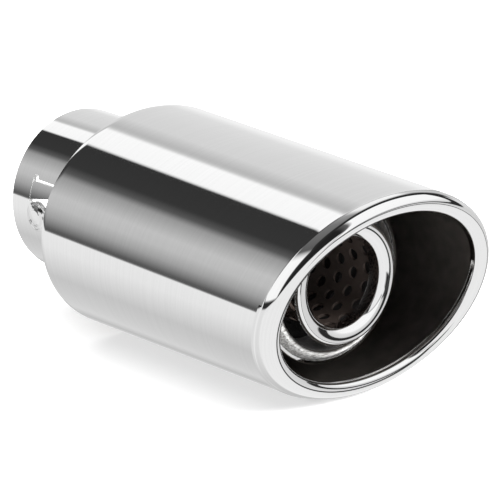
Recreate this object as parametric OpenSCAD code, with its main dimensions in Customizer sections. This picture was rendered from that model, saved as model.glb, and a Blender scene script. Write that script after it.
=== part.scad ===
// Oval exhaust tip of polished stainless steel, with a slanted rolled mouth and a silencer core.
// It lies on the flat side of its oval. X runs along the pipe towards the mouth, Z is up,
// and the origin is the centre of the inlet end of the tube.

/* [Inlet tube] */
// Outside diameter of the tube that takes the car's tail pipe
tube_d = 63; // [60:0.5:66]
// Sheet of the tube
tube_wall = 1.5; // [1.2:0.1:2]
// Length of the tube that stands out behind the shell
tube_out = 45.5; // [40:0.5:70]
// Length of the tube inside the shell, up to its front edge
tube_in = 99; // [90:0.5:105]
// How much narrower the tube's radius is in front of the socket
tube_step = 0.8; // [0.4:0.1:1.2]
// Length of the cone between the socket and the narrower tube
step_len = 3; // [2:0.5:5]
// Distance from the cap's neck to that cone
step_gap = 2; // [1:0.5:4]

/* [Spring tab and screw] */
// Distance of the tab's free end from the inlet end
tab_start = 12.5; // [8:0.5:16]
// Length of the tab
tab_len = 12; // [10:0.5:14]
// Width of the tab at its free end
tab_w = 7; // [5:0.2:8]
// How much narrower the tab is at its root
tab_taper = 2.4; // [1:0.2:3]
// Angle of the tab's middle above the side of the tube
tab_angle = 14.5; // [14.5:0.5:30]
// How far the tab's free end is bent out of the wall
tab_lift = 0.8; // [0.4:0.1:1.2]
// Width of the cut across the tab's free end
slot_w = 1.4; // [1:0.1:2]
// Width of the slit along the tab's upper edge
slit_w = 0.8; // [0.5:0.1:1.2]
// Height of the open window below the tab, at the tab's root
window_h = 5.2; // [3:0.2:6]
// Diameter of the relief hole where slot and slit meet
relief_d = 3.2; // [2.5:0.1:4]
// Distance of the clamp screw from the inlet end
screw_x = 17.2; // [15:0.1:19]
// Angle of the clamp screw above the side of the tube
screw_angle = -2; // [-8:0.5:-1]
// Diameter of the screw's shank
screw_d = 6; // [4:0.5:6]
// Diameter of the screw's head
screw_head_d = 11.4; // [9:0.2:12]
// Height of the screw's head above the tube
screw_head_h = 2.2; // [1.6:0.1:3]
// Height of the rounded top on the screw's head
screw_dome = 1; // [0.4:0.1:1.2]

/* [Shell] */
// Width of the oval shell at its rear rim
shell_w = 101; // [96:0.5:120]
// Height of the oval shell at its rear rim
shell_h = 83.4; // [80:0.2:100]
// How much the shell draws in at each side on its way to the mouth
side_taper = 1.5; // [0:0.1:3]
// How much the shell draws in at top and bottom on its way to the mouth
top_taper = 3.4; // [0:0.1:5]
// How far the middle of the rear rim lies below the tube's axis
shell_drop = 0.5; // [0:0.1:1.5]
// How much lower the middle of the mouth lies than that of the rear rim
mouth_drop = 0.9; // [0:0.1:2]
// Sheet of the shell
shell_wall = 1.2; // [0.8:0.1:1.6]
// Length of the shell along the axis, from its rear rim to the plane of the mouth
shell_len = 126; // [120:0.5:160]
// Slant of the mouth, its top reaching further than its bottom
mouth_slant = 16.5; // [0:0.5:22]
// Turn of the mouth to the side
mouth_turn = 2.2; // [-4:0.1:4]

/* [Rolled lip] */
// Radius of the two bends of the roll round the mouth
roll_r = 2.8; // [2.2:0.1:3.6]
// Width of the flat front between the two bends
roll_flat = 1.4; // [0:0.1:3]
// How far the roll lies inside the shell's outline
roll_inset = 0.1; // [0:0.1:2]
// Angle at which the shell's sheet runs into the roll
roll_crease = 50; // [30:1:70]
// Length of the shoulder before the roll
shoulder_len = 2; // [1:0.5:8]
// Length of the straight edge behind the roll's inner bend
flange_len = 1.5; // [1:0.5:8]

/* [Rear cap] */
// Sheet of the rear cap
cap_wall = 1.5; // [1:0.1:2]
// Distance of the cap's plate inside the shell's rear rim
cap_inset = 1.5; // [0.5:0.1:4]
// Length of the cap's flange along the shell
cap_flange = 9; // [6:0.5:15]
// Outside radius of the cap's corner
cap_corner = 3; // [2.5:0.1:4]
// Length of the cap's neck along the tube
cap_neck = 7; // [4:0.5:12]
// Throat of the weld bead between cap and tube
weld_size = 2.4; // [1.5:0.1:3]

/* [Silencer core] */
// Bore of the perforated core pipe
core_bore = 34; // [30:0.5:38]
// Sheet of the core pipe
core_wall = 1; // [0.8:0.1:1.4]
// Distance from the tube's front edge to the front of the core's lip
core_out = 8.5; // [6:0.5:12]
// Gap between the cone in the tube and the core's rear end
core_gap = 1; // [0.5:0.5:3]
// Diameter of the perforations
hole_d = 4.2; // [3:0.1:5]
// Number of perforations in one ring
hole_count = 16; // [12:1:18]
// Spacing of the rings of perforations
hole_pitch = 6.9; // [6:0.1:9]
// How far the lip's roll stands out beyond the core pipe
core_lip_out = 4.3; // [3.5:0.1:6]
// Radius of the lip's roll
core_roll_r = 1.5; // [1.2:0.1:2]
// Angle between the axis and the lip's flare, which joins its spigot and its roll
core_flare = 58; // [40:1:70]
// Depth of the lip's spigot inside the core pipe
core_spigot = 4; // [3:0.5:8]
// Sheet of the core's lip
core_lip_wall = 0.8; // [0.6:0.1:1]

/* [Packing] */
// Thickness of the white glass mat
mat_thick = 3.8; // [2.5:0.1:5]
// How far the mat stands out of the tube's front edge
mat_out = 2.7; // [0.5:0.1:4]
// How far the mat's outer edge falls back behind its front
mat_fall = 4; // [2:0.5:6]
// How far the steel wool lies behind the tube's front edge
wool_back = 14; // [8:0.5:30]
// Length of the collar that carries the core's rear end
collar_len = 8; // [5:0.5:12]
// Sheet of the collar
collar_wall = 1.2; // [0.8:0.1:1.6]

/* [Fits] */
// Gap between sheets that are welded or pushed together
fit_gap = 0.1; // [0.05:0.05:0.3]

/* [Hidden] */
steps = 96;
tube_r = tube_d / 2;
bore_r = tube_r - tube_wall;
run_r = tube_r - tube_step;
run_bore_r = run_r - tube_wall;
tube_end = tube_out + tube_in;
half_w = shell_w / 2;
half_h = shell_h / 2;
mouth_x = tube_out + shell_len;
roll_n = roll_inset + roll_r;
cap_x = tube_out + cap_inset;
socket_len = cap_x + cap_neck + step_gap;
tab_tilt = asin(tab_lift / tab_len);
tab_root = tab_start + tab_len;
core_r = core_bore / 2;
core_out_r = core_r + core_wall;
core_front = tube_end + core_out;
core_rear = socket_len + step_len + core_gap;
spigot_r = core_r - fit_gap - core_lip_wall;
core_lip_r = core_out_r + core_lip_out;
core_roll_x = core_front - core_roll_r;
flare_rise = core_lip_r - core_roll_r * (1 + cos(core_flare)) - spigot_r;
flare_x = core_roll_x + core_roll_r * sin(core_flare) - flare_rise / tan(core_flare);
collar_x = core_rear + collar_len;
packing_r = run_bore_r - fit_gap;
mat_r = packing_r - mat_thick;
cut = 1;

// A point on the shell's oval, moved inwards by the distance n. The oval draws in and sinks
// on its way from the rear rim, where u is 0, to the mouth, where u is 1
function oval_point(t, n, u) =
    let (w = half_w - side_taper * u, h = half_h - top_taper * u,
        c = cos(t) / w, s = sin(t) / h, m = sqrt(c * c + s * s))
    [w * cos(t) - n * c / m, h * sin(t) - n * s / m - shell_drop - mouth_drop * u];

// The plane of the mouth, leaning back below and turned to one side
function mouth_plane(p) = mouth_x + tan(mouth_turn) * p[0] + tan(mouth_slant) * p[1];

// A place on the roll's section, as [distance ahead of the mouth's plane, depth inwards].
// Past its front the roll turns about a second centre, deeper by the width of its flat front
function roll_point(r, a, deeper = 0) = [-roll_r + r * sin(a), roll_n + deeper - r * cos(a)];

// Rings of points round the oval: each is [follows the mouth's plane, x or distance ahead, depth]
function ring_points(rings) = [
    for (r = rings) for (i = [0 : steps - 1])
        let (t = i * 360 / steps, front = mouth_plane(oval_point(t, 0, 1)),
            u = (r[0] * front + r[1] - tube_out) / (front - tube_out), p = oval_point(t, r[2], u))
        [r[0] * mouth_plane(p) + r[1], p[0], p[1]]
];

// Two triangles for each field between neighbouring rings, closed from the last ring to the first
function ring_faces(count) = [
    for (j = [0 : count - 1]) for (i = [0 : steps - 1])
        let (k = (j + 1) % count, n = (i + 1) % steps,
            a = j * steps + i, b = j * steps + n, c = k * steps + n, d = k * steps + i)
        for (f = [[a, d, c], [a, c, b]]) f
];

module oval_sweep(rings) polyhedron(ring_points(rings), ring_faces(len(rings)), convexity = 8);

// A tube along X from x0 to x1
module ring_x(x0, x1, r_in, r_out) translate([x0, 0, 0]) rotate([0, 90, 0]) difference() {
    cylinder(h = x1 - x0, r = r_out, $fn = 96);
    translate([0, 0, -cut]) cylinder(h = x1 - x0 + 2 * cut, r = r_in, $fn = 96);
}

// A section drawn as [x, radius] and turned round the X axis
module turned_x() rotate([0, 90, 0]) rotate_extrude($fn = 96)
    rotate([0, 0, 90]) mirror([0, 1, 0]) children();

// What lies at an angle above the tube's side, with the side towards -Y
module at_side(a) rotate([-a, 0, 0]) children();

// Shell: one sheet from the rear rim over the shoulder, round the roll and back inside the mouth
module outer_shell() {
    outer_turns = 8;
    inner_turns = 5;
    inside_r = roll_r - shell_wall;
    crease = roll_point(roll_r, -roll_crease);
    inner_crease = roll_point(inside_r, -roll_crease);
    shoulder_x = crease[0] - shoulder_len;
    bends = 4;
    shoulder = [
        for (k = [0 : bends - 1])
            [1, shoulder_x + shoulder_len * k / bends, crease[1] * (1 - cos(90 * k / bends))]
    ];
    sweep = 90 + roll_crease;
    outer_bend = [
        for (k = [0 : outer_turns])
            let (p = roll_point(roll_r, -roll_crease + sweep * k / outer_turns)) [1, p[0], p[1]]
    ];
    inner_bend = [
        for (k = [0 : inner_turns])
            let (p = roll_point(roll_r, 90 + 90 * k / inner_turns, roll_flat)) [1, p[0], p[1]]
    ];
    inner_back = [
        for (k = [inner_turns : -1 : 0])
            let (p = roll_point(inside_r, 90 + 90 * k / inner_turns, roll_flat)) [1, p[0], p[1]]
    ];
    outer_back = [
        for (k = [inner_turns : -1 : 0])
            let (p = roll_point(inside_r, -roll_crease + sweep * k / inner_turns)) [1, p[0], p[1]]
    ];
    edge_x = -roll_r - flange_len;
    edge_n = roll_n + roll_flat + roll_r;
    color("gainsboro") oval_sweep(concat(
        [[0, tube_out, 0]],
        shoulder,
        outer_bend,
        inner_bend,
        [[1, edge_x, edge_n], [1, edge_x, edge_n - shell_wall]],
        inner_back,
        outer_back,
        [[1, crease[0] - shell_wall / 2, inner_crease[1] + shell_wall / 8]],
        [[1, shoulder_x, shell_wall], [0, tube_out, shell_wall]]
    ));
}

// Rear cap: a stamped oval plate with a flange inside the shell and a neck on the tube
module rear_cap() {
    n0 = shell_wall + fit_gap;
    turns = 4;
    corner = [
        for (k = [0 : turns]) let (a = 90 * k / turns)
            [0, cap_x + cap_corner * (1 - sin(a)), n0 + cap_corner * (1 - cos(a))]
    ];
    inner_r = cap_corner - cap_wall;
    inner_corner = [
        for (k = [0 : turns]) let (a = 90 * k / turns)
            [0, cap_x + cap_corner - inner_r * sin(a), n0 + cap_corner - inner_r * cos(a)]
    ];
    plate_n = half_h * 0.6;
    color("silver") difference() {
        union() {
            oval_sweep(concat(
                [[0, cap_x + cap_wall, plate_n], [0, cap_x, plate_n]],
                [for (k = [turns : -1 : 0]) corner[k]],
                [[0, cap_x + cap_flange, n0], [0, cap_x + cap_flange, n0 + cap_wall]],
                inner_corner
            ));
            ring_x(cap_x, cap_x + cap_neck, tube_r - cut, tube_r + fit_gap + cap_wall);
        }
        ring_x(cap_x - cut, cap_x + cap_neck + cut, 0, tube_r + fit_gap);
    }
}

// Weld bead between the tube and the plate of the rear cap
module cap_weld() color("darkgray") turned_x() difference() {
    throat = weld_size + fit_gap;
    translate([cap_x - weld_size, tube_r]) square([weld_size, throat]);
    translate([cap_x - weld_size, tube_r + throat]) circle(r = weld_size * 0.85, $fn = 32);
}

// Inlet tube: a widened socket, then the run to the silencer's front, with the tab cut in its side
module inlet_tube() color("lightgray") {
    cone_x = socket_len + step_len;
    difference() {
        turned_x() polygon([
            [0, bore_r], [socket_len, bore_r], [cone_x, run_bore_r], [tube_end, run_bore_r],
            [tube_end, run_r], [cone_x, run_r], [socket_len, tube_r], [0, tube_r]
        ]);
        tab_cuts();
        at_side(screw_angle) translate([screw_x, -tube_r, 0]) rotate([90, 0, 0])
            cylinder(h = 4 * tube_wall, d = screw_d + 2 * fit_gap, center = true, $fn = 48);
    }
    spring_tab();
}

// A flat outline in the tube's side at the tab, cut or kept through the wall
module through_side(outline, depth) at_side(tab_angle) translate([0, -tube_r, 0]) rotate([90, 0, 0])
    linear_extrude(2 * depth, center = true) polygon(outline);

// The opening round the tab: slot, slit, relief hole, the window below and the tab's own place
module tab_cuts() {
    low = -tab_w / 2;
    high = tab_w / 2;
    depth = 2 * tube_wall;
    through_side([
        [tab_start - slot_w, low - slit_w], [tab_start, low - slit_w],
        [screw_x + screw_d / 2, low - window_h / 2], [tab_root, low + tab_taper - window_h],
        [tab_root, high + slit_w], [tab_start - slot_w, high + slit_w]
    ], depth);
    at_side(tab_angle) translate([tab_start, -tube_r, high + slit_w]) rotate([90, 0, 0])
        cylinder(h = 2 * depth, d = relief_d, center = true, $fn = 48);
}

// The tab itself, bent out of the wall at its free end
module spring_tab() {
    low = -tab_w / 2;
    intersection() {
        translate([tab_root, -tube_r, 0]) rotate([0, 0, tab_tilt]) translate([-tab_root, tube_r, 0])
            ring_x(tab_start, tab_root + tube_wall, bore_r, tube_r);
        through_side([
            [tab_start, low], [tab_root, low + tab_taper], [tab_root + tube_wall / 2, low + tab_taper],
            [tab_root + tube_wall / 2, -low], [tab_start, -low]
        ], 3 * tube_wall);
    }
}

// Clamp screw: its tip ends short of the bore, so that a tail pipe slides past it
module clamp_screw() color("gray") at_side(screw_angle) translate([screw_x, 0, 0]) rotate([90, 0, 0]) {
    side_h = screw_head_h - screw_dome;
    difference() {
        union() {
            translate([0, 0, tube_r - tube_wall / 2])
                cylinder(h = side_h + tube_wall / 2, d = screw_head_d, $fn = 64);
            translate([0, 0, tube_r + side_h]) dome(screw_head_d, screw_dome);
        }
        rotate([0, 90, 0]) cylinder(h = 2 * screw_head_d, r = tube_r + fit_gap, center = true, $fn = 96);
    }
    translate([0, 0, bore_r + fit_gap]) cylinder(h = tube_wall + side_h, d = screw_d, $fn = 48);
}

// A low round cap of a sphere
module dome(d, h) {
    r = (d * d / 4 + h * h) / (2 * h);
    intersection() {
        translate([0, 0, h - r]) sphere(r = r, $fn = 96);
        cylinder(h = h, d = d, $fn = 64);
    }
}

// Collar: a stamped cup in the tube that carries the rear end of the core
module core_collar() color("darkgray") {
    neck_r = core_out_r + fit_gap;
    rim_r = run_bore_r - fit_gap;
    ring_x(core_rear, collar_x, rim_r - collar_wall, rim_r);
    ring_x(collar_x - collar_wall, collar_x, neck_r, rim_r);
    ring_x(core_rear, collar_x, neck_r, neck_r + collar_wall);
}

// Core pipe with rings of perforations, every other ring turned by half a hole's spacing
module core_pipe() color([0.32, 0.29, 0.27]) {
    last = flare_x - core_spigot - hole_d / 2;
    rings = floor((last - collar_x - hole_pitch / 2) / hole_pitch);
    difference() {
        ring_x(core_rear, flare_x - core_lip_wall, core_r, core_out_r);
        for (j = [0 : rings]) for (i = [0 : hole_count - 1])
            translate([last - j * hole_pitch, 0, 0]) rotate([(i + (j % 2) / 2) * 360 / hole_count, 0, 0])
                translate([0, 0, core_r - cut]) cylinder(h = core_wall + 2 * cut, d = hole_d, $fn = 24);
    }
}

// Polished lip of the core: a spigot inside the pipe, a flare, and a roll curled back round its end
module core_lip() color("whitesmoke") turned_x() {
    turns = 20;
    from = core_flare - 90;
    to = 190;
    roll_in = core_roll_r - core_lip_wall;
    middle = [core_roll_x, core_lip_r - core_roll_r];
    angles = [for (k = [0 : turns]) from + (to - from) * k / turns];
    face = [for (a = angles) middle + core_roll_r * [cos(a), sin(a)]];
    back = [for (k = [turns : -1 : 0]) middle + roll_in * [cos(angles[k]), sin(angles[k])]];
    bend_x = flare_x - core_lip_wall * tan(core_flare / 2);
    polygon(concat(
        [[flare_x - core_spigot, spigot_r], [flare_x, spigot_r]], face, back,
        [[bend_x, spigot_r + core_lip_wall], [flare_x - core_spigot, spigot_r + core_lip_wall]]
    ));
}

// Steel wool wrapped on the core, dark and set back behind the mat
module steel_wool() color([0.2, 0.2, 0.2])
    ring_x(collar_x, tube_end - wool_back, core_out_r + fit_gap, mat_r - fit_gap);

// Glass mat between the wool and the tube, its front falling back towards the tube's edge
module glass_mat() color("white") {
    front = tube_end + mat_out;
    edge = mat_thick / 5;
    turned_x() polygon([
        [collar_x, mat_r], [front - edge, mat_r], [front, mat_r + edge],
        [front - mat_fall / 4, packing_r - 2 * edge], [front - mat_fall / 2, packing_r - edge],
        [front - mat_fall, packing_r], [collar_x, packing_r]
    ]);
}

outer_shell();
rear_cap();
cap_weld();
inlet_tube();
clamp_screw();
core_collar();
core_pipe();
core_lip();
steel_wool();
glass_mat();
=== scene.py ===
# Oval exhaust tip of polished stainless steel: visible pieces, finishes and a plain studio
import math

import bmesh
import bpy
from bpy.props import FloatProperty, FloatVectorProperty, IntProperty, PointerProperty
from mathutils import Matrix, Vector, noise


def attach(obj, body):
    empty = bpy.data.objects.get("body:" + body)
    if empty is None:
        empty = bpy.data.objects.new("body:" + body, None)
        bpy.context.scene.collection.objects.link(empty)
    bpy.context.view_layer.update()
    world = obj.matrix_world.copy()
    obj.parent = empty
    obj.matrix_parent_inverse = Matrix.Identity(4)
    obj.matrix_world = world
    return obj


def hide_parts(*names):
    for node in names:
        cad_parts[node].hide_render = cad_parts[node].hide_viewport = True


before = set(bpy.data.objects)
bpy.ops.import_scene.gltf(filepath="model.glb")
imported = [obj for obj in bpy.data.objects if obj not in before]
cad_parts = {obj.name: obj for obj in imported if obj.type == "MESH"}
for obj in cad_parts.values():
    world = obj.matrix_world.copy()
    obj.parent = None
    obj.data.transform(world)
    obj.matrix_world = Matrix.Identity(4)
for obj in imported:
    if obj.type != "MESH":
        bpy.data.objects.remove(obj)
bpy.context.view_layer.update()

bl_info = {
    "name": "Oval exhaust tip",
    "version": (1, 0, 0),
    "blender": (4, 5, 0),
    "location": "View3D > Sidebar > Exhaust tip",
    "description": "Builds the visible pieces of an oval exhaust tip on its packed frame",
    "category": "Add Mesh",
}

MM = 0.001
# Play left between pieces that fit into each other
PLAY = 0.1 * MM
# Share of a face's normal that points away from the X axis: more on a round wall, less on a cut face
ROUND_WALL = 0.985
CUT_FACE = 0.4


# Small helpers for sizes

def length(name, about, value):
    """A length property in metres, with its default given in millimetres."""
    return FloatProperty(
        name=name, description=about, default=value * MM, unit="LENGTH", subtype="DISTANCE")


def angle(name, about, value):
    """An angle property, with its default given in degrees."""
    return FloatProperty(
        name=name, description=about, default=math.radians(value), unit="ROTATION", subtype="ANGLE")


def count(name, about, value):
    return IntProperty(name=name, description=about, default=value, min=3)


def linear(hex_colour):
    """An sRGB hex value as linear RGBA."""
    channels = [int(hex_colour[i:i + 2], 16) / 255 for i in (1, 3, 5)]
    return tuple(c / 12.92 if c <= 0.04045 else ((c + 0.055) / 1.055) ** 2.4 for c in channels) + (1.0,)


def colour(name, about, value):
    """A colour property that keeps linear values, with its default given as an sRGB hex value."""
    return FloatVectorProperty(
        name=name, description=about, default=linear(value), size=4, min=0, max=1, subtype="COLOR")


class ShellSizes(bpy.types.PropertyGroup):
    width: length("Width", "Width of the oval shell at its rear rim", 101)
    height: length("Height", "Height of the oval shell at its rear rim", 83.4)
    side_taper: length("Side taper", "How much each side draws in towards the mouth", 1.5)
    top_taper: length("Top taper", "How much top and bottom draw in towards the mouth", 3.4)
    drop: length("Drop", "How far the rear rim's middle lies below the tube's axis", 0.5)
    mouth_drop: length("Mouth drop", "How much lower the mouth's middle lies than the rear rim's", 0.9)
    wall: length("Wall", "Sheet of the shell", 1.2)
    rear: length("Rear rim", "Distance of the rear rim from the inlet end", 45.5)
    mouth: length("Mouth", "Distance of the mouth's plane from the inlet end, on the axis", 171.5)
    slant: angle("Slant", "Slant of the mouth, its top reaching further", 16.5)
    turn: angle("Turn", "Turn of the mouth to the side", 2.2)
    reach: length("Roll reach", "Distance behind the mouth at which an uncreased roll would start", 7.7)
    depth: length("Roll depth", "How deep the roll's front lies inside the shell's outline", 3.6)
    back: length("Roll back", "How far the inner half of the roll turns back", 2.8)
    crease: angle("Crease", "Turn of the roll's section that is lost at the crease", 13)
    inset: length("Crease step", "How far the sheet steps in at the crease", 0.1)
    edge: length("Edge", "Length of the straight edge behind the roll's inner bend", 1.5)
    rounding: length("Rounding", "Rounding of the sheet's cut edges", 0.18)
    around: count("Steps round", "Number of faces round the oval", 240)


class TubeSizes(bpy.types.PropertyGroup):
    radius: length("Radius", "Outside radius of the socket", 31.5)
    wall: length("Wall", "Sheet of the tube", 1.5)
    step: length("Step", "How much narrower the tube is in front of the socket", 0.8)
    socket: length("Socket", "Length of the wider socket", 56)
    cone: length("Cone", "Length of the cone in front of the socket", 3)
    end: length("Front edge", "Distance of the front edge from the inlet end", 144.5)
    chamfer: length("Chamfer", "Chamfer on both ends of the sheet", 0.3)
    around: count("Steps round", "Number of faces round the tube", 240)


class TabSizes(bpy.types.PropertyGroup):
    start: length("Free end", "Distance of the tab's free end from the inlet end", 12.5)
    length: length("Length", "Length of the tab", 12)
    width: length("Width", "Width of the tab at its free end", 7)
    taper: length("Taper", "How much narrower the tab is at its root", 2.4)
    angle: angle("Angle", "Angle of the tab's middle above the side of the tube", 14.5)
    lift: length("Lift", "How far the free end is bent out of the wall", 0.8)
    slot: length("Slot", "Width of the cut across the free end", 1.4)
    slit: length("Slit", "Width of the slit along the upper edge", 0.8)
    window: length("Window", "Height of the open window at the tab's root", 5.2)
    relief: length("Relief hole", "Diameter of the hole where slot and slit meet", 3.2)


class ScrewSizes(bpy.types.PropertyGroup):
    place: length("Place", "Distance of the screw from the inlet end", 17.2)
    angle: angle("Angle", "Angle of the screw above the side of the tube", -2)
    shank: length("Shank", "Diameter of the shank", 6)
    head: length("Head", "Diameter of the head", 11.4)
    height: length("Head height", "Height of the head above the tube", 2.2)
    dome: length("Dome", "Height of the rounded top", 1)
    rim: length("Rim", "Rounding of the head's edge", 0.35)
    groove: length("Groove", "Depth of the turned grooves on the head", 0.16)


class CoreSizes(bpy.types.PropertyGroup):
    lip_front: length("Lip front", "Distance of the lip's front from the inlet end", 153)
    lip_radius: length("Lip radius", "Outside radius of the rolled lip", 22.3)
    lip_roll: length("Lip roll", "Radius of the roll at the lip's front", 1.5)
    flare: angle("Flare", "Angle between the axis and the flare where it leaves the spigot", 50)
    bend: length("Bend", "Radius of the bend between the spigot and the flare", 0.8)
    spigot_radius: length("Spigot radius", "Inside radius of the lip's spigot", 16.1)
    spigot: length("Spigot", "Depth of the spigot inside the core pipe", 4.5)
    lip_wall: length("Lip wall", "Sheet of the lip", 0.8)
    rounding: length("Rounding", "Rounding of the lip's cut edges", 0.12)


class PackingSizes(bpy.types.PropertyGroup):
    rear: length("Rear", "Rear end of the packing", 68)
    mat_radius: length("Mat bore", "Inside radius of the glass mat", 25.3)
    outer_radius: length("Outer radius", "Outside radius of the glass mat", 29.1)
    mat_out: length("Mat out", "How far the mat stands out of the tube's front edge", 2.7)
    mat_fall: length("Mat fall", "How far the mat's outer edge falls back", 4)
    wool_radius: length("Wool bore", "Inside radius of the steel wool", 18.1)
    wool_front: length("Wool front", "Front of the steel wool", 130.5)
    mat_uneven: length("Mat unevenness", "Depth of the uneven front of the mat", 0.45)
    mat_tuft: length("Mat tuft", "Width of the tufts on the mat's front", 1.6)
    wool_uneven: length("Wool unevenness", "Depth of the uneven front of the wool", 0.5)
    wool_tuft: length("Wool tuft", "Width of the tufts on the wool's front", 2)


class RearSizes(bpy.types.PropertyGroup):
    weld_x: length("Weld place", "Rear end of the weld bead", 44.6)
    weld: length("Weld size", "Throat of the weld bead", 2.4)
    ripple: length("Ripple", "Spacing of the ripples on the weld bead", 1.9)
    ripple_depth: length("Ripple depth", "Depth of the ripples on the weld bead", 0.35)


class FinishColours(bpy.types.PropertyGroup):
    steel: colour("Steel", "Polished stainless steel", "#e6e6e6")
    inside: colour("Shell inside", "Unpolished inside of the shell", "#66615d")
    punched: colour("Punched edge", "Faces left by the punch round the tab", "#d2d2d1")
    core: colour("Core steel", "Perforated pipe, stained by heat", "#3d3531")
    weld: colour("Weld", "Weld bead with a straw tint", "#a59b8c")
    mat: colour("Glass mat", "White glass fibre", "#f2f2f0")
    mat_gap: colour("Glass mat gaps", "Shade between the glass strands", "#77736f")
    # Darkens the glass mat at its inner edge, and paints shade over its top and +Y side
    dark_edge_and_shade: colour("Darkening", "Soot on the glass mat's inner edge", "#2b2724")
    # Painted shade: the steel wool is coloured nearly black to stand for the shade in the gap round the core
    # and behind the pipe's holes
    wool: colour("Steel wool", "Dark steel wool", "#131110")
    wool_gap: colour("Steel wool gaps", "Shade between the steel strands", "#040404")
    floor: colour("Floor", "Plain pale floor", "#f4f4f4")


# Mesh helpers

def fresh():
    """Object mode with nothing selected."""
    if bpy.context.object and bpy.context.object.mode != "OBJECT":
        bpy.ops.object.mode_set(mode="OBJECT")
    bpy.ops.object.select_all(action="DESELECT")


def only(obj):
    fresh()
    obj.hide_set(False)
    obj.select_set(True)
    bpy.context.view_layer.objects.active = obj


def start_ring(name, around):
    """A circle of radius 1 across the X axis, open and named."""
    fresh()
    bpy.ops.mesh.primitive_circle_add(
        vertices=around, radius=1, fill_type="NOTHING", location=(0, 0, 0), rotation=(0, math.pi / 2, 0))
    obj = bpy.context.object
    obj.name = obj.data.name = name
    bpy.ops.object.transform_apply(location=True, rotation=True, scale=True)
    return obj


def swept(name, rings, place, around, closed):
    """A skin of rings round the X axis. place(ring, turn) gives each point's position.

    Its UV map holds the length along the sheet in metres and the share of a whole turn.
    """
    obj = start_ring(name, around)
    along = [0.0]
    for before, after in zip(rings, rings[1:]):
        along.append(along[-1] + (place(after, 0) - place(before, 0)).length)
    bpy.ops.object.mode_set(mode="EDIT")
    bpy.ops.mesh.select_all(action="SELECT")
    mesh = bmesh.from_edit_mesh(obj.data)
    turn, run = mesh.verts.layers.float.new("turn"), mesh.verts.layers.float.new("run")
    for v in mesh.verts:
        v[turn] = math.atan2(v.co.z, v.co.y)
        v.co = place(rings[0], v[turn])
    for ring, far in zip(rings[1:], along[1:]):
        bpy.ops.mesh.extrude_edges_move()
        mesh = bmesh.from_edit_mesh(obj.data)
        turn, run = mesh.verts.layers.float["turn"], mesh.verts.layers.float["run"]
        for v in mesh.verts:
            if v.select:
                v.co, v[run] = place(ring, v[turn]), far
    if closed:
        bpy.ops.mesh.select_all(action="DESELECT")
        bpy.ops.mesh.select_non_manifold()
        bpy.ops.mesh.bridge_edge_loops()
    bpy.ops.mesh.select_all(action="SELECT")
    bpy.ops.mesh.normals_make_consistent(inside=False)
    mesh = bmesh.from_edit_mesh(obj.data)
    layers = mesh.verts.layers.float
    uv = mesh.loops.layers.uv.verify()
    for face in mesh.faces:
        for corner in face.loops:
            v = corner.vert
            corner[uv].uv = v[layers["run"]], v[layers["turn"]] / (2 * math.pi)
    for layer in ("turn", "run"):
        layers.remove(layers[layer])
    bpy.ops.object.mode_set(mode="OBJECT")
    return obj


def turned(name, section, around):
    """A closed section of (x, radius) points turned round the X axis."""
    return swept(
        name, section, lambda p, t: Vector((p[0], p[1] * math.cos(t), p[1] * math.sin(t))),
        around, closed=True)


def arc(x, r, radius, start, end, steps):
    """Points of an arc in a section, with angles in degrees from the X axis towards greater radius."""
    angles = [math.radians(start + (end - start) * k / steps) for k in range(steps + 1)]
    return [(x + radius * math.cos(a), r + radius * math.sin(a)) for a in angles]


def spread(start, end, steps):
    """Evenly spaced values from start to end."""
    return [start + (end - start) * k / steps for k in range(steps + 1)]


def apply_modifier(obj, kind, **settings):
    """Adds a modifier, sets it and applies it."""
    only(obj)
    bpy.ops.object.modifier_add(type=kind)
    modifier = obj.modifiers[-1]
    for key, value in settings.items():
        setattr(modifier, key, value)
    bpy.ops.object.modifier_apply(modifier=modifier.name)


def smooth(obj, degrees=35):
    only(obj)
    bpy.ops.object.shade_smooth_by_angle(angle=math.radians(degrees))


def round_edges(obj, width):
    """Rounds the cut edges of a sheet."""
    apply_modifier(
        obj, "BEVEL", width=width, segments=2, limit_method="ANGLE", angle_limit=math.radians(50))


def outward(face):
    """Share of a face's normal that points away from the X axis."""
    return face.normal.dot(Vector((0, face.center.y, face.center.z)).normalized())


def finish_piece(obj, material, slot, *nodes):
    """Gives a piece its finish and its body, and hides the CAD nodes that it stands for."""
    obj.data.materials.clear()
    obj.data.materials.append(bpy.data.materials[material])
    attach(obj, "root")
    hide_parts(*nodes)


def smooth_copy(node, name, degrees=30):
    """A merged copy of a CAD node, shaded smooth over its small angles."""
    only(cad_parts[node])
    bpy.ops.object.duplicate()
    obj = bpy.context.object
    obj.name = obj.data.name = name
    for key in list(obj.keys()):
        if key.startswith("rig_"):
            del obj[key]
    obj.parent = None
    bpy.ops.object.mode_set(mode="EDIT")
    bpy.ops.mesh.select_all(action="SELECT")
    bpy.ops.mesh.remove_doubles(threshold=0.001 * MM)
    bpy.ops.object.mode_set(mode="OBJECT")
    smooth(obj, degrees)
    return obj


# Node helper and finishes

def add(tree, kind, links=(), **settings):
    """Adds a node. settings are its own, links are (socket name or number, value or other node's socket)."""
    new = tree.nodes.new(kind)
    for key, value in settings.items():
        setattr(new, key, value)
    for socket, value in links:
        if isinstance(value, bpy.types.NodeSocket):
            tree.links.new(value, new.inputs[socket])
        else:
            new.inputs[socket].default_value = value
    return new


def start_material(name):
    material = bpy.data.materials.new(name)
    material.use_nodes = True
    material.node_tree.nodes.clear()
    return material.node_tree


def end_material(tree, shader):
    add(tree, "ShaderNodeOutputMaterial", [("Surface", shader.outputs[0])])


def stretched(tree, scale):
    """Object coordinates in metres, stretched by a scale for each axis."""
    place = add(tree, "ShaderNodeTexCoord")
    return add(tree, "ShaderNodeMapping", [("Vector", place.outputs["Object"]), ("Scale", scale)]).outputs[0]


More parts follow.
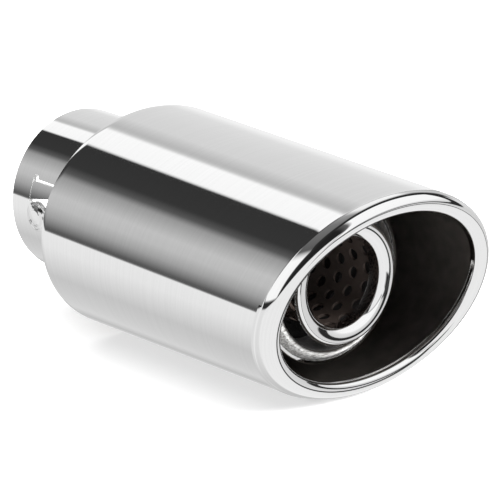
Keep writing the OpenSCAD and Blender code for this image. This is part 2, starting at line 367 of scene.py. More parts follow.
def polished_steel(name, steel, hairline, cloud):
    """Stainless sheet polished on a wheel: mirror bands, faint lines round the piece and soft smudges."""
    tree = start_material(name)
    place = add(tree, "ShaderNodeTexCoord")
    sheet = add(tree, "ShaderNodeSeparateXYZ", [(0, place.outputs["UV"])])
    solid = add(tree, "ShaderNodeSeparateXYZ", [(0, place.outputs["Object"])])
    laid = add(tree, "ShaderNodeCombineXYZ", [
        (0, sheet.outputs[0]), (1, solid.outputs[1]), (2, solid.outputs[2])])
    drawn = add(tree, "ShaderNodeMapping", [("Vector", laid.outputs[0]), ("Scale", (1 / hairline, 14, 14))])
    lines = add(tree, "ShaderNodeTexNoise", [
        ("Vector", drawn.outputs[0]), ("Scale", 1.0), ("Detail", 3.0), ("Roughness", 0.7)])
    haze = add(tree, "ShaderNodeTexNoise", [
        ("Vector", stretched(tree, (1, 1, 1))), ("Scale", 1 / cloud), ("Detail", 3.0)])
    rough = add(tree, "ShaderNodeMapRange", [
        ("Value", haze.outputs[0]), ("From Min", 0.3), ("From Max", 0.7), ("To Min", 0.03), ("To Max", 0.06)])
    worn = add(tree, "ShaderNodeMapRange", [
        ("Value", lines.outputs[0]), ("From Min", 0.35), ("From Max", 0.75),
        ("To Min", 0.15), ("To Max", 0.0)])
    dull = tuple(0.72 * c for c in steel[:3]) + (1.0,)
    tint = add(tree, "ShaderNodeMix", [(0, worn.outputs[0]), (6, steel), (7, dull)], data_type="RGBA")
    relief = add(tree, "ShaderNodeBump", [
        ("Height", lines.outputs[0]), ("Strength", 0.04), ("Distance", 0.05 * MM)])
    end_material(tree, add(tree, "ShaderNodeBsdfPrincipled", [
        ("Base Color", tint.outputs[2]), ("Metallic", 1.0), ("Roughness", rough.outputs[0]),
        ("Normal", relief.outputs[0])]))


def stained_steel(name, steel, grain, metal=0.9, rough_from=0.3, rough_to=0.55):
    """Steel that ran hot: dark brown oxide with a dull sheen and paler worn spots."""
    tree = start_material(name)
    cloud = add(tree, "ShaderNodeTexNoise", [
        ("Vector", stretched(tree, (1, 1, 1))), ("Scale", 1 / (6 * MM)), ("Detail", 5.0)])
    fine = add(tree, "ShaderNodeTexNoise", [
        ("Vector", stretched(tree, (1, 1, 1))), ("Scale", 1 / grain), ("Detail", 3.0)])
    worn = tuple(min(1, c * 2.2) for c in steel[:3]) + (1.0,)
    tint = add(tree, "ShaderNodeMix", [(0, cloud.outputs[0]), (6, steel), (7, worn)], data_type="RGBA")
    rough = add(tree, "ShaderNodeMapRange", [
        ("Value", fine.outputs[0]), ("To Min", rough_from), ("To Max", rough_to)])
    relief = add(tree, "ShaderNodeBump", [
        ("Height", fine.outputs[0]), ("Strength", 0.3), ("Distance", 0.05 * MM)])
    end_material(tree, add(tree, "ShaderNodeBsdfPrincipled", [
        ("Base Color", tint.outputs[2]), ("Metallic", metal), ("Roughness", rough.outputs[0]),
        ("Normal", relief.outputs[0])]))


def fibre(name, pale, dark, strand, relief_depth, sheen=0.0, dark_edge_and_shade=None):
    """Packed fibre: many short strands that cross, pale where they catch light and dark between them.

    The last argument, if given, is the radius up to which the fibre is blackened, and the colour; over the
    top and the +Y side the blackening reaches further out, as painted shade.
    """
    tree = start_material(name)
    place = add(tree, "ShaderNodeTexCoord")
    strands = []
    for turn in ((0.3, 0.2, 0.1), (1.3, 0.9, 2.1), (2.2, 2.6, 0.8)):
        laid = add(tree, "ShaderNodeMapping", [
            ("Vector", place.outputs["Object"]), ("Rotation", turn),
            ("Scale", (1 / strand, 0.12 / strand, 1 / strand))])
        strands.append(add(tree, "ShaderNodeTexNoise", [
            ("Vector", laid.outputs[0]), ("Scale", 1.0), ("Detail", 2.0)]).outputs[0])
    two = add(tree, "ShaderNodeMath", [(0, strands[0]), (1, strands[1])], operation="MAXIMUM")
    three = add(tree, "ShaderNodeMath", [(0, two.outputs[0]), (1, strands[2])], operation="MAXIMUM")
    shade = add(tree, "ShaderNodeMapRange", [
        ("Value", three.outputs[0]), ("From Min", 0.42), ("From Max", 0.62)])
    tint = add(tree, "ShaderNodeMix", [(0, shade.outputs[0]), (6, dark), (7, pale)], data_type="RGBA")
    if dark_edge_and_shade:
        # Darkens the fibre up to the given radius, and as painted shade up to 4 mm further out over the top
        # and the +Y side
        reach, black = dark_edge_and_shade
        axes = add(tree, "ShaderNodeSeparateXYZ", [(0, place.outputs["Object"])])
        flat = add(tree, "ShaderNodeCombineXYZ", [(1, axes.outputs[1]), (2, axes.outputs[2])])
        radius = add(tree, "ShaderNodeVectorMath", [(0, flat.outputs[0])], operation="LENGTH")
        rise = add(tree, "ShaderNodeMath", [(0, axes.outputs[1]), (1, axes.outputs[2])], operation="ADD")
        above = add(tree, "ShaderNodeMapRange", [
            ("Value", rise.outputs[0]), ("From Min", -5 * MM), ("From Max", 25 * MM), ("To Max", 4 * MM)])
        depth = add(tree, "ShaderNodeMath", [
            (0, radius.outputs["Value"]), (1, above.outputs[0])], operation="SUBTRACT")
        undarkened = add(tree, "ShaderNodeMapRange", [
            ("Value", depth.outputs[0]), ("From Min", reach - 0.5 * MM), ("From Max", reach + 0.5 * MM)])
        tint = add(tree, "ShaderNodeMix", [
            (0, undarkened.outputs[0]), (6, black), (7, tint.outputs[2])], data_type="RGBA")
    relief = add(tree, "ShaderNodeBump", [
        ("Height", three.outputs[0]), ("Strength", 0.8), ("Distance", relief_depth)])
    end_material(tree, add(tree, "ShaderNodeBsdfPrincipled", [
        ("Base Color", tint.outputs[2]), ("Roughness", 0.8), ("Sheen Weight", sheen),
        ("Normal", relief.outputs[0])]))


def painted_floor(name, pale):
    """Matt white board with a faint unevenness."""
    tree = start_material(name)
    cloud = add(tree, "ShaderNodeTexNoise", [
        ("Vector", stretched(tree, (1, 1, 1))), ("Scale", 4.0), ("Detail", 2.0)])
    rough = add(tree, "ShaderNodeMapRange", [("Value", cloud.outputs[0]), ("To Min", 0.75), ("To Max", 0.85)])
    end_material(tree, add(tree, "ShaderNodeBsdfPrincipled", [
        ("Base Color", pale), ("Roughness", rough.outputs[0]), ("Specular IOR Level", 0.2),
        ("Emission Color", pale), ("Emission Strength", 0.25)]))


class TIP_OT_finishes(bpy.types.Operator):
    """Mix the finishes of all the pieces"""

    bl_idname = "tip.finishes"
    bl_label = "Finishes"

    def execute(self, context):
        c = context.scene.tip_finish
        # Stainless sheet polished on a wheel: bright mirror bands with fine lines round the pipe
        polished_steel("polished_stainless_steel", tuple(c.steel), 0.8 * MM, 30 * MM)
        # The shell's inside, left unpolished: dull and faintly brown
        stained_steel("raw_inner_steel", tuple(c.inside), 0.5 * MM)
        # Mild steel stained by hot gas: nearly black, with a dull sheen
        stained_steel("heat_stained_steel", tuple(c.core), 0.4 * MM, 0.4, 0.45, 0.7)
        # Faces left by the punch that freed the tab: pale and rough, so they catch light beside the mirror
        stained_steel("punched_steel_edge", tuple(c.punched), 2 * MM, 0.1, 0.6, 0.7)
        # Weld bead, brushed after welding: straw grey and rougher than the sheet
        stained_steel("brushed_weld_steel", tuple(c.weld), 0.6 * MM)
        # Needled glass fibre: white strands with small dark gaps, darkened at its inner edge, with painted
        # shade over the top and the +Y side
        fibre("needled_glass_fibre", tuple(c.mat), tuple(c.mat_gap), 0.5 * MM, 0.3 * MM, 0.3,
              (26.2 * MM, tuple(c.dark_edge_and_shade)))
        # Steel wool: dark strands that catch a little light, coloured nearly black as painted shade in the
        # deep gap round the core
        fibre("steel_wool_with_painted_shade", tuple(c.wool), tuple(c.wool_gap), 0.25 * MM, 0.3 * MM)
        # Matt painted board
        painted_floor("matt_white_board", tuple(c.floor))
        return {"FINISHED"}


# Pieces

class TIP_OT_shell(bpy.types.Operator):
    """Form the oval shell with its crease, roll and turned-back flange"""

    bl_idname = "tip.shell"
    bl_label = "Shell"

    def execute(self, context):
        s = context.scene.tip_shell

        def outline(t, depth, share):
            """A point of the oval: share is 0 at the rear rim and 1 at the mouth, depth is inwards."""
            half_w = s.width / 2 - s.side_taper * share
            half_h = s.height / 2 - s.top_taper * share
            c, d = math.cos(t) / half_w, math.sin(t) / half_h
            m = math.hypot(c, d)
            return (half_w * math.cos(t) - depth * c / m,
                    half_h * math.sin(t) - depth * d / m - s.drop - s.mouth_drop * share)

        def mouth_plane(y, z):
            return s.mouth + math.tan(s.turn) * y + math.tan(s.slant) * z

        def place(ring, t):
            follows, along, depth = ring
            front = mouth_plane(*outline(t, 0, 1))
            y, z = outline(t, depth, (follows * front + along - s.rear) / (front - s.rear))
            return Vector((follows * mouth_plane(y, z) + along, y, z))

        def on_roll(a, reach):
            """A place on the roll's oval section, from the crease over the front to the inside."""
            height = (s.depth - s.inset) / math.cos(s.crease)
            return (1, reach * (math.sin(a) - 1), s.inset + height * (math.cos(s.crease) - math.cos(a)))

        # A ring is (0 behind or 1 on the mouth's plane, place along X, depth inside the oval). Rings 2 mm
        # from the rim and the crease hold the wall straight, one 0.15 mm before the crease keeps it sharp.
        crease = on_roll(s.crease, s.reach)[1]
        rings = [(0, s.rear, 0), (0, s.rear + 2 * MM, 0), (1, crease - 2 * MM, 0), (1, crease - 0.15 * MM, 0)]
        rings += [on_roll(a, s.reach) for a in spread(s.crease, math.pi / 2, 28)]
        rings += [on_roll(a, s.back) for a in spread(math.pi / 2, math.pi, 14)[1:]]
        _, bend_end, depth = rings[-1]
        rings += [(1, bend_end - s.edge * k / 2, depth) for k in (1, 2)]
        shell = swept("shell", rings, place, s.around, closed=False)
        for name in ("polished_stainless_steel", "raw_inner_steel"):
            shell.data.materials.append(bpy.data.materials[name])
        apply_modifier(
            shell, "SOLIDIFY", thickness=s.wall, offset=-1, use_even_offset=True, material_offset=1)
        round_edges(shell, s.rounding)
        smooth(shell)
        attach(shell, "root")
        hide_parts("outer_shell")
        return {"FINISHED"}


class TIP_OT_tube(bpy.types.Operator):
    """Form the inlet tube and cut its spring tab, slit, relief hole and window"""

    bl_idname = "tip.tube"
    bl_label = "Inlet tube"

    def execute(self, context):
        t = context.scene.tip_tube
        tab = context.scene.tip_tab
        screw = context.scene.tip_screw
        bore = t.radius - t.wall
        run, run_bore = t.radius - t.step, t.radius - t.step - t.wall
        # Rings stand 1 mm apart where the tab and the screw's hole are cut
        places = spread(t.chamfer, 8 * MM, 3) + spread(9 * MM, 28 * MM, 19) + [36 * MM]
        outside = [(x, t.radius) for x in places + [t.socket]]
        outside += [(t.socket + t.cone, run), (t.end - t.chamfer, run)]
        front = [(t.end, run - t.chamfer), (t.end, run_bore + t.chamfer)]
        inside = [(t.end - t.chamfer, run_bore), (t.socket + t.cone, run_bore), (t.socket, bore)]
        inside += [(x, bore) for x in reversed(places)]
        rear = [(0, bore + t.chamfer), (0, t.radius - t.chamfer)]
        tube = turned("inlet_tube_sheet", outside + front + inside + rear, t.around)

        low, high = -tab.width / 2, tab.width / 2
        top = high + tab.slit
        root = tab.start + tab.length
        slot_middle = tab.start - tab.slot / 2
        deep = 3 * t.wall
        # The slot across the free end, the slit along the upper edge and the window below the tab
        outlines = [
            [(tab.start - tab.slot, low - tab.slit), (tab.start, low - tab.slit),
             (tab.start, top), (tab.start - tab.slot, top)],
            [(slot_middle, high), (root, high), (root, top), (slot_middle, top)],
            [(slot_middle, low - tab.slit), (screw.place + screw.shank / 2, low - tab.window / 2),
             (root, low + tab.taper - tab.window), (root, low + tab.taper), (slot_middle, low)],
        ]
        for outline in outlines:
            self.cut(tube, self.prism(outline, tab.angle, t.radius, deep))
        self.cut(tube, self.drill(tab.relief / 2, tab.angle, t.radius, deep, tab.start, top))
        self.cut(tube, self.drill(screw.shank / 2 + PLAY, screw.angle, t.radius, deep, screw.place, 0))
        self.bend_tab(tube, tab, root, low, high)
        true_round(tube)
        finish_piece(tube, "polished_stainless_steel", "polished_steel", "inlet_tube")
        tube.data.materials.append(bpy.data.materials["punched_steel_edge"])
        for face in tube.data.polygons:
            if 8 * MM < face.center.x < 30 * MM and abs(outward(face)) < CUT_FACE:
                face.material_index = 1
        return {"FINISHED"}

    def drill(self, hole, turn, radius, deep, x, z):
        """A round cutter that points out of the tube's side."""
        fresh()
        bpy.ops.mesh.primitive_cylinder_add(vertices=48, radius=hole, depth=2 * deep)
        cutter = bpy.context.object
        cutter.rotation_euler = (math.pi / 2, 0, 0)
        cutter.location = (x, -radius, z)
        only(cutter)
        bpy.ops.object.transform_apply(location=True, rotation=True, scale=True)
        cutter.data.transform(Matrix.Rotation(-turn, 4, "X"))
        return cutter

    def prism(self, outline, turn, radius, deep):
        """A straight-sided cutter with an outline of [x, height] points in the tube's side."""
        fresh()
        bpy.ops.mesh.primitive_circle_add(vertices=len(outline), radius=1, fill_type="NGON")
        cutter = bpy.context.object
        for v, (x, z) in zip(cutter.data.vertices, outline):
            v.co = (x, -radius - deep, z)
        bpy.ops.object.mode_set(mode="EDIT")
        bpy.ops.mesh.select_all(action="SELECT")
        bpy.ops.mesh.extrude_region_move(TRANSFORM_OT_translate={"value": (0, 2 * deep, 0)})
        bpy.ops.mesh.select_all(action="SELECT")
        bpy.ops.mesh.normals_make_consistent(inside=False)
        bpy.ops.object.mode_set(mode="OBJECT")
        cutter.data.transform(Matrix.Rotation(-turn, 4, "X"))
        return cutter

    def cut(self, obj, cutter):
        apply_modifier(obj, "BOOLEAN", operation="DIFFERENCE", solver="EXACT", object=cutter)
        mesh = cutter.data
        bpy.data.objects.remove(cutter)
        bpy.data.meshes.remove(mesh)

    def bend_tab(self, obj, tab, root, low, high):
        """Bends the free tab outwards from its root."""
        back = Matrix.Rotation(tab.angle, 4, "X")
        hair = 0.01 * MM
        for v in obj.data.vertices:
            p = back @ v.co
            reach = (root - p.x) / tab.length
            edge = low + tab.taper * (1 - max(0.0, min(1.0, reach)))
            if p.y < 0 and 0 < reach < 1.02 and edge - hair < p.z < high + hair:
                out = Vector((0, v.co.y, v.co.z)).normalized()
                v.co += out * tab.lift * reach


def true_round(obj):
    """Keeps cut round walls smooth: their corners point away from the axis, and cut faces stay flat."""
    smooth(obj)
    mesh = obj.data
    normals = [corner.vector.copy() for corner in mesh.corner_normals]
    for face in mesh.polygons:
        side = outward(face)
        for i in face.loop_indices:
            if abs(side) > ROUND_WALL:
                co = mesh.vertices[mesh.loops[i].vertex_index].co
                normals[i] = Vector((0, co.y, co.z)).normalized() * (1 if side > 0 else -1)
            elif abs(side) < CUT_FACE:
                normals[i] = face.normal.copy()
    mesh.normals_split_custom_set(normals)


# Where the screw's head has its turned grooves, in shares of its radius
GROOVES = ((0.5, 0.58), (0.78, 0.84))


class TIP_OT_screw(bpy.types.Operator):
    """Turn the clamp screw with its low round head"""

    bl_idname = "tip.screw"
    bl_label = "Clamp screw"

    def execute(self, context):
        s = context.scene.tip_screw
        t = context.scene.tip_tube
        head = s.head / 2
        seat = t.radius - math.sqrt(t.radius ** 2 - head ** 2)
        ball = (head ** 2 + s.dome ** 2) / (2 * s.dome)
        half = math.degrees(math.asin((head - s.rim) / ball))
        # The section starts and ends a hair off the screw's axis, which leaves a hole of up to 0.1 mm there
        dome = arc(t.radius + s.height - ball, 0, ball, 0.05, half, 40)
        dome = [(x - s.groove * any(a < r / head < b for a, b in GROOVES), r) for x, r in dome]
        x, r = dome[-1]
        edge = [(x - 0.4 * s.rim * k / 3, r + s.rim * math.sin(math.pi / 6 * k)) for k in (1, 2, 3)]
        inner = t.radius - t.wall + PLAY
        section = dome + edge + [
            (t.radius - seat, head), (t.radius - seat, s.shank / 2), (inner, s.shank / 2), (inner, 0.05 * MM)]
        screw = turned("clamp_screw_head", section, 96)
        to_side = Matrix.Translation((s.place, 0, 0)) @ Matrix.Rotation(-math.pi / 2, 4, "Z")
        screw.data.transform(Matrix.Rotation(-s.angle, 4, "X") @ to_side)
        smooth(screw, 40)
        finish_piece(screw, "polished_stainless_steel", "polished_steel", "clamp_screw")
        return {"FINISHED"}


class TIP_OT_core(bpy.types.Operator):
    """Form the core's polished lip and dress the perforated pipe and its collar"""

    bl_idname = "tip.core"
    bl_label = "Silencer core"

    def execute(self, context):
        c = context.scene.tip_core
        x, r = c.lip_front - c.lip_roll, c.lip_radius - c.lip_roll
        start = math.degrees(c.flare) - 90
        # The flare is one arc, a bell, that meets the bend behind it and the roll before it without a corner
        bell = c.bend + (r - c.bend - c.spigot_radius) / math.cos(c.flare)
        bend = c.lip_front - bell + (bell - c.bend) * math.sin(c.flare)
        curl = 190  # degrees that the lip's edge is rolled through
        section = [(bend - c.spigot, c.spigot_radius)]
        section += arc(bend, c.spigot_radius + c.bend, c.bend, -90, start, 8)
        section += arc(c.lip_front - bell, r, bell, start, 0, 20)[1:]
        section += arc(x, r, c.lip_roll, 0, curl, 32)[1:]
        section += arc(x, r, c.lip_roll - c.lip_wall, curl, 0, 22)
        section += arc(c.lip_front - bell, r, bell - c.lip_wall, 0, start, 20)[1:]
        section += [(bend - c.spigot, c.spigot_radius + c.lip_wall)]
        lip = turned("core_lip_ring", section, 192)
        round_edges(lip, c.rounding)
        smooth(lip)
        finish_piece(lip, "polished_stainless_steel", "polished_steel", "core_lip")
        pipe = smooth_copy("core_pipe", "core_pipe_sheet")
        true_round(pipe)
        finish_piece(pipe, "heat_stained_steel", "core_steel", "core_pipe")
        collar = smooth_copy("core_collar", "core_collar_cup")
        finish_piece(collar, "heat_stained_steel", "core_steel", "core_collar")
        return {"FINISHED"}


class TIP_OT_packing(bpy.types.Operator):
    """Lay the glass mat and the steel wool round the core"""

    bl_idname = "tip.packing"
    bl_label = "Packing"

    def execute(self, context):
        p = context.scene.tip_packing
        end = context.scene.tip_tube.end
        front = end + p.mat_out
        thick = p.outer_radius - p.mat_radius
        # The mat's face rises over its inner fifth, then falls back towards the tube
        inner = 0.2
        face = [(front - 0.1 * thick * (1 - u), p.mat_radius + inner * thick * u) for u in spread(0, 1, 4)]
        face += [(front - p.mat_fall * u ** 2.2, p.mat_radius + thick * (inner + (1 - inner) * u))
                 for u in spread(0.1, 1, 9)]
        section = [(p.rear, p.mat_radius)]
        section += [(x, p.mat_radius) for x in spread(end - 18 * MM, front - thick * 0.15, 24)]
        section += face + [(end - 4 * MM, p.outer_radius), (p.rear, p.outer_radius)]
        mat = turned("glass_mat_ring", section, 288)
        self.ruffle(mat, end - 16 * MM, p.mat_uneven, p.mat_tuft, p.outer_radius - 0.3 * MM)
        finish_piece(mat, "needled_glass_fibre", "glass_mat", "glass_mat")
        wool_outer = p.mat_radius - PLAY
        section = [(p.rear, p.wool_radius)]
        section += [(p.wool_front, r) for r in spread(p.wool_radius, wool_outer, 8)]
        section += [(p.rear, wool_outer)]
        wool = turned("steel_wool_ring", section, 288)
        self.ruffle(wool, p.wool_front - 1 * MM, p.wool_uneven, p.wool_tuft, wool_outer)
        finish_piece(wool, "steel_wool_with_painted_shade", "steel_wool", "steel_wool")
        return {"FINISHED"}

    def ruffle(self, obj, from_x, depth, grain, limit):
        """Makes the front of a packing uneven, always inwards of its smooth form."""
        for v in obj.data.vertices:
            radius = math.hypot(v.co.y, v.co.z)
            if v.co.x > from_x and radius < limit:
                v.co.x -= depth * (noise.noise(v.co / grain) + 1) / 2
        smooth(obj, 80)


class TIP_OT_rear(bpy.types.Operator):
    """Press the rear cap and lay the weld bead between it and the tube"""

    bl_idname = "tip.rear"
    bl_label = "Rear cap and weld"

    def execute(self, context):
        s = context.scene.tip_rear
        t = context.scene.tip_tube
        cap = smooth_copy("rear_cap", "rear_cap_plate", 25)
        finish_piece(cap, "polished_stainless_steel", "polished_steel", "rear_cap")
        # The bead fills the corner between plate and tube, with a rounded face a little flatter than a circle
        throat = s.weld
        crown = 0.98 * throat
        section = [(s.weld_x + throat, t.radius), (s.weld_x + throat, t.radius + throat)]
        section += [(s.weld_x + throat * (1 - math.sin(a)), t.radius + crown * math.cos(a))
                    for a in spread(0.12, math.pi / 2 - 0.05, 10)]
        bead = turned("cap_weld_bead", section, 480)
        ripples = round(2 * math.pi * (t.radius + throat / 2) / s.ripple)
        along, inwards = 0.7, 0.5
        for v in bead.data.vertices:
            turn = math.atan2(v.co.z, v.co.y)
            radius = math.hypot(v.co.y, v.co.z)
            proud = min(1.0, max(0.0, (s.weld_x + throat - v.co.x) / throat)) * (radius - t.radius) / throat
            # Each ripple runs slantwise across the bead, by half its spacing
            lag = turn + 0.25 * s.ripple / t.radius * math.cos(math.pi * (v.co.x - s.weld_x) / throat)
            depth = s.ripple_depth * (0.5 + 0.5 * math.cos(ripples * lag)) * min(1, 3 * proud)
            v.co.x += depth * along
            scale = (radius - depth * inwards) / radius
            v.co.y *= scale
            v.co.z *= scale
        smooth(bead, 60)
        finish_piece(bead, "brushed_weld_steel", "weld_steel", "cap_weld")
        return {"FINISHED"}


# Studio

# Light that the steel mirrors, as (degrees, brightness). Angles and levels are fitted to the bands
# that show on the steel in the photograph. BEHIND runs round the X axis from +Y over the top, for all that
# lies beyond the inlet: a white strip box high up, a dark gap, a grey wall and the table.
BEHIND = (
    (0, 1.0), (14, 0.86), (52, 0.82), (64, 0.6), (67, 0.68), (70, 1.22), (89.5, 1.2), (91, 0.04),
    (115, 0.045), (123, 0.12), (129, 0.4), (148, 0.68), (160, 0.64), (173, 0.45), (187, 0.13), (191, 0.1),
    (192.5, 1.03), (210, 1.0), (250, 0.7), (295, 0.78), (311, 0.56), (335, 0.9), (360, 1.0),
)
# GAP and FRONT run the same way. GAP is a belt just before the front: a lit card over the far side, a grey
# ceiling, a white card on the near side and a thin dark gap at its foot. FRONT is all that lies before the
# mouth: a white screen on the far side, the dark room over and on the near side, and the table.
GAP = (
    (0, 0.6), (36, 0.75), (42, 1.15), (72, 1.1), (80, 0.4), (92, 0.22), (122, 0.13), (128, 0.9), (132, 1.2),
    (176, 1.2), (179, 0.03), (186, 0.03), (188, 0.95), (240, 0.9), (275, 0.75), (305, 0.6), (345, 0.65),
    (360, 0.6),
)
FRONT = (
    (0, 0.8), (20, 0.95), (28, 1.2), (90, 1.2), (94, 0.15), (102, 0.02), (178, 0.02), (182, 1.0), (215, 1.0),
    (260, 1.05), (312, 1.05), (332, 0.85), (360, 0.8),
)
# Where the front begins, as (degrees, place along X): further back over the far side than on the near side.
BORDER = (
    (0, -0.46), (33, -0.42), (70, -0.24), (95, -0.08), (117, 0.0), (125, 0.12), (178, 0.1), (187, -0.3),
    (360, -0.46),
)
# Soft edges between the room's parts: what is measured along a ray, where the edge is 0 and where it is 1.
# x, y and z are the ray's direction, ahead is how far x lies past BORDER, off_seam and off_gap are the
# distances from a dark line, and over_table is the height over the table's edge.
EDGES = {
    "belt": ("x", -0.64, -0.6), "front": ("ahead", -0.1, -0.01),
    "frame": ("ahead", 0.1, 0.13), "frame_foot": ("z", 0.3, 0.15),
    "seam": ("off_seam", 0.08, 0.12), "seam_side": ("y", 0.1, -0.1),
    "table": ("over_table", 0.0, -0.05), "table_side": ("y", 0.0, -0.1),
    "gap": ("off_gap", 0.06, 0.09), "gap_side": ("y", 0.15, 0.05), "gap_back": ("x", -0.15, -0.25),
}
# The dark seam lies where z + 0.5 x is 0.27, the table's edge where z is 0.65 x, the gap where z is -0.8 y.
SEAM_SLOPE, SEAM_HEIGHT = 0.5, 0.27
TABLE_SLOPE = -0.65
GAP_SLOPE = 0.8
FRAME_LEVEL, TABLE_LEVEL, GAP_LEVEL, BACKDROP_LEVEL = 0.03, 1.05, 0.06, 1.0
CAMERA_PLACE = (0.7488, -0.5424, 0.2617)
CAMERA_DIRECTION = (-0.732, 0.6134, -0.2964)
# Soft lamps that the steel doesn't mirror: name, place, what they point at, width and power in watts
LAMPS = (
    ("overhead_box", (0.05, -0.05, 0.9), (0.08, 0, 0), 1.6, 22),
    ("front_box", (0.75, 0.38, 0.42), (0.15, 0, 0), 0.4, 13),
)


def grey(level):
    return (level, level, level, 1)


class TIP_OT_studio(bpy.types.Operator):
    """Set the camera, the floor and the soft light of the studio"""

    bl_idname = "tip.studio"
    bl_label = "Studio"

    def execute(self, context):
        scene = context.scene
        scene.view_settings.view_transform = "Standard"
        self.camera(scene)
        self.floor(scene)
        self.world(scene)
        for name, place, target, width, power in LAMPS:
            self.lamp(name, place, target, width, power)
        return {"FINISHED"}

    def camera(self, scene):
        fresh()
        bpy.ops.object.camera_add(location=CAMERA_PLACE)
        camera = bpy.context.object
        camera.name = "photo_camera"
        camera.rotation_euler = Vector(CAMERA_DIRECTION).to_track_quat("-Z", "Y").to_euler()
        camera.data.lens = 180
        camera.data.sensor_width = 36
        camera.data.clip_start, camera.data.clip_end = 0.01, 20
        scene.camera = camera

    def floor(self, scene):
        """A board under the shell's lowest line, from the rear rim to the roll."""
        shell = scene.objects["shell"].data.vertices
        rear = min((v.co for v in shell if v.co.x < 60 * MM), key=lambda co: co.z)
        mouth = min((v.co for v in shell if v.co.x > 140 * MM), key=lambda co: co.z)
        tilt = math.atan2(mouth.z - rear.z, mouth.x - rear.x)
        fresh()
        bpy.ops.mesh.primitive_plane_add(
            size=6, location=(rear.x, 0, rear.z - 0.05 * MM), rotation=(0, -tilt, 0))
        floor = bpy.context.object
        floor.name = "floor"
        floor.data.materials.append(bpy.data.materials["matt_white_board"])
        floor.visible_glossy = False

    def world(self, scene):
        """The room that the steel mirrors, as light by direction. The camera itself sees a white backdrop."""
        world = bpy.data.worlds.new("studio_bands")
        scene.world = world
        world.use_nodes = True
        tree = world.node_tree
        tree.nodes.clear()
        place = add(tree, "ShaderNodeTexCoord")
        axes = add(tree, "ShaderNodeSeparateXYZ", [(0, place.outputs["Generated"])])
        x, y, z = axes.outputs
        round_x = add(tree, "ShaderNodeMath", [(0, z), (1, y)], operation="ARCTAN2")
        share = add(tree, "ShaderNodeMath", [(0, round_x.outputs[0]), (1, 2 * math.pi)], operation="DIVIDE")
        turn = add(tree, "ShaderNodeMath", [(0, share.outputs[0]), (1, 1.0)], operation="ADD")
        part = add(tree, "ShaderNodeMath", [(0, turn.outputs[0]), (1, 1.0)], operation="MODULO")
        # A ramp holds no negative place, so the border's places are halved and moved to 0.5
        border = [(degrees, (place_x + 1) / 2) for degrees, place_x in BORDER]
        bands = {}
        for name, stops in (("behind", BEHIND), ("gap", GAP), ("front", FRONT), ("border", border)):
            ramp = add(tree, "ShaderNodeValToRGB", [(0, part.outputs[0])])
            elements = ramp.color_ramp.elements
            for i, (degrees, level) in enumerate(stops):
                stop = elements[i] if i < 2 else elements.new(degrees / 360)
                stop.position = degrees / 360
                stop.color = grey(level)
            bands[name] = ramp.outputs[0]

        start = add(tree, "ShaderNodeMath", [
            (0, bands["border"]), (1, 2), (2, -1)], operation="MULTIPLY_ADD")
        ahead = add(tree, "ShaderNodeMath", [(0, x), (1, start.outputs[0])], operation="SUBTRACT")
        slope = add(tree, "ShaderNodeMath", [(0, x), (1, SEAM_SLOPE), (2, z)], operation="MULTIPLY_ADD")
        above = add(tree, "ShaderNodeMath", [(0, slope.outputs[0]), (1, SEAM_HEIGHT)], operation="SUBTRACT")
        off_seam = add(tree, "ShaderNodeMath", [(0, above.outputs[0])], operation="ABSOLUTE")
        over_table = add(tree, "ShaderNodeMath", [(0, x), (1, TABLE_SLOPE), (2, z)], operation="MULTIPLY_ADD")
        fall = add(tree, "ShaderNodeMath", [(0, y), (1, GAP_SLOPE), (2, z)], operation="MULTIPLY_ADD")
        off_gap = add(tree, "ShaderNodeMath", [(0, fall.outputs[0])], operation="ABSOLUTE")
        measures = {
            "x": x, "y": y, "z": z, "ahead": ahead.outputs[0], "off_seam": off_seam.outputs[0],
            "over_table": over_table.outputs[0], "off_gap": off_gap.outputs[0],
        }
        edges = {}
        for name, (measure, low, high) in EDGES.items():
            edge = add(tree, "ShaderNodeMapRange", [
                ("Value", measures[measure]), ("From Min", low), ("From Max", high)],
                interpolation_type="SMOOTHSTEP")
            edges[name] = edge.outputs[0]

        # A dark frame runs round the screen: along the front's border, and low over the far side
        framed = add(tree, "ShaderNodeMath", [
            (0, edges["frame"]), (1, edges["frame_foot"])], operation="MAXIMUM")
        seamed = add(tree, "ShaderNodeMath", [
            (0, edges["seam"]), (1, edges["seam_side"])], operation="MAXIMUM")
        lit = add(tree, "ShaderNodeMath", [
            (0, framed.outputs[0]), (1, seamed.outputs[0])], operation="MULTIPLY")
        screen = add(tree, "ShaderNodeMix", [
            (0, lit.outputs[0]), (6, grey(FRAME_LEVEL)), (7, bands["front"])], data_type="RGBA")
        # The table shows below the dark room, its edge rising towards the front
        nearer = add(tree, "ShaderNodeMath", [
            (0, edges["table"]), (1, edges["table_side"])], operation="MULTIPLY")
        table = add(tree, "ShaderNodeMix", [
            (0, nearer.outputs[0]), (6, screen.outputs[2]), (7, grey(TABLE_LEVEL))], data_type="RGBA")
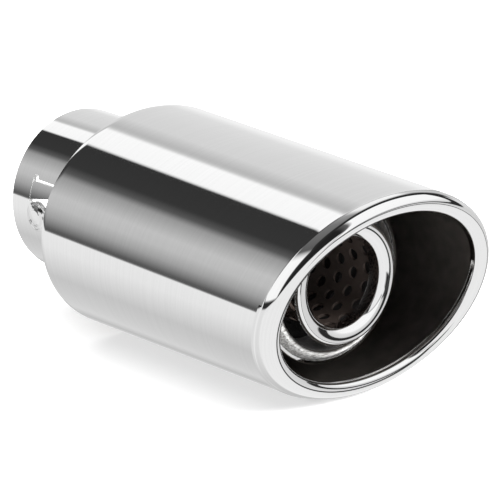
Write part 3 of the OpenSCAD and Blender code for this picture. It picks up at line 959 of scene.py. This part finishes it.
        # A thin dark gap runs over the table on the far side
        elsewhere = add(tree, "ShaderNodeMath", [
            (0, edges["gap_side"]), (1, edges["gap_back"])], operation="MAXIMUM")
        no_gap = add(tree, "ShaderNodeMath", [
            (0, edges["gap"]), (1, elsewhere.outputs[0])], operation="MAXIMUM")
        front = add(tree, "ShaderNodeMix", [
            (0, no_gap.outputs[0]), (6, grey(GAP_LEVEL)), (7, table.outputs[2])], data_type="RGBA")
        rear = add(tree, "ShaderNodeMix", [
            (0, edges["belt"]), (6, bands["behind"]), (7, bands["gap"])], data_type="RGBA")
        room = add(tree, "ShaderNodeMix", [
            (0, edges["front"]), (6, rear.outputs[2]), (7, front.outputs[2])], data_type="RGBA")
        seen = add(tree, "ShaderNodeLightPath")
        glow = add(tree, "ShaderNodeMix", [
            (0, seen.outputs["Is Camera Ray"]), (6, room.outputs[2]), (7, grey(BACKDROP_LEVEL))],
            data_type="RGBA")
        light = add(tree, "ShaderNodeBackground", [(0, glow.outputs[2]), (1, 1.0)])
        add(tree, "ShaderNodeOutputWorld", [("Surface", light.outputs[0])])

    def lamp(self, name, place, target, width, power):
        fresh()
        bpy.ops.object.light_add(type="AREA", location=place)
        lamp = bpy.context.object
        lamp.name = name
        lamp.rotation_euler = (Vector(target) - Vector(place)).to_track_quat("-Z", "Y").to_euler()
        lamp.data.shape = "RECTANGLE"
        lamp.data.size = lamp.data.size_y = width
        lamp.data.energy = power
        lamp.visible_glossy = False


class TIP_PT_panel(bpy.types.Panel):
    """Buttons for each piece and the studio"""

    bl_idname = "TIP_PT_panel"
    bl_label = "Exhaust tip"
    bl_space_type = "VIEW_3D"
    bl_region_type = "UI"
    bl_category = "Exhaust tip"

    def draw(self, context):
        for step in STEPS:
            self.layout.operator(step.bl_idname)


GROUPS = {
    "tip_shell": ShellSizes, "tip_tube": TubeSizes, "tip_tab": TabSizes, "tip_screw": ScrewSizes,
    "tip_core": CoreSizes, "tip_packing": PackingSizes, "tip_rear": RearSizes, "tip_finish": FinishColours,
}
STEPS = (
    TIP_OT_finishes, TIP_OT_shell, TIP_OT_tube, TIP_OT_screw, TIP_OT_core, TIP_OT_packing, TIP_OT_rear,
    TIP_OT_studio,
)


def register():
    for cls in (*GROUPS.values(), *STEPS, TIP_PT_panel):
        bpy.utils.register_class(cls)
    for name, group in GROUPS.items():
        setattr(bpy.types.Scene, name, PointerProperty(type=group))


def unregister():
    for name in GROUPS:
        delattr(bpy.types.Scene, name)
    for cls in (TIP_PT_panel, *reversed(STEPS), *reversed(list(GROUPS.values()))):
        bpy.utils.unregister_class(cls)


def main():
    register()
    for step in STEPS:
        group, name = step.bl_idname.split(".")
        getattr(getattr(bpy.ops, group), name)()


if __name__ == "__main__":
    main()
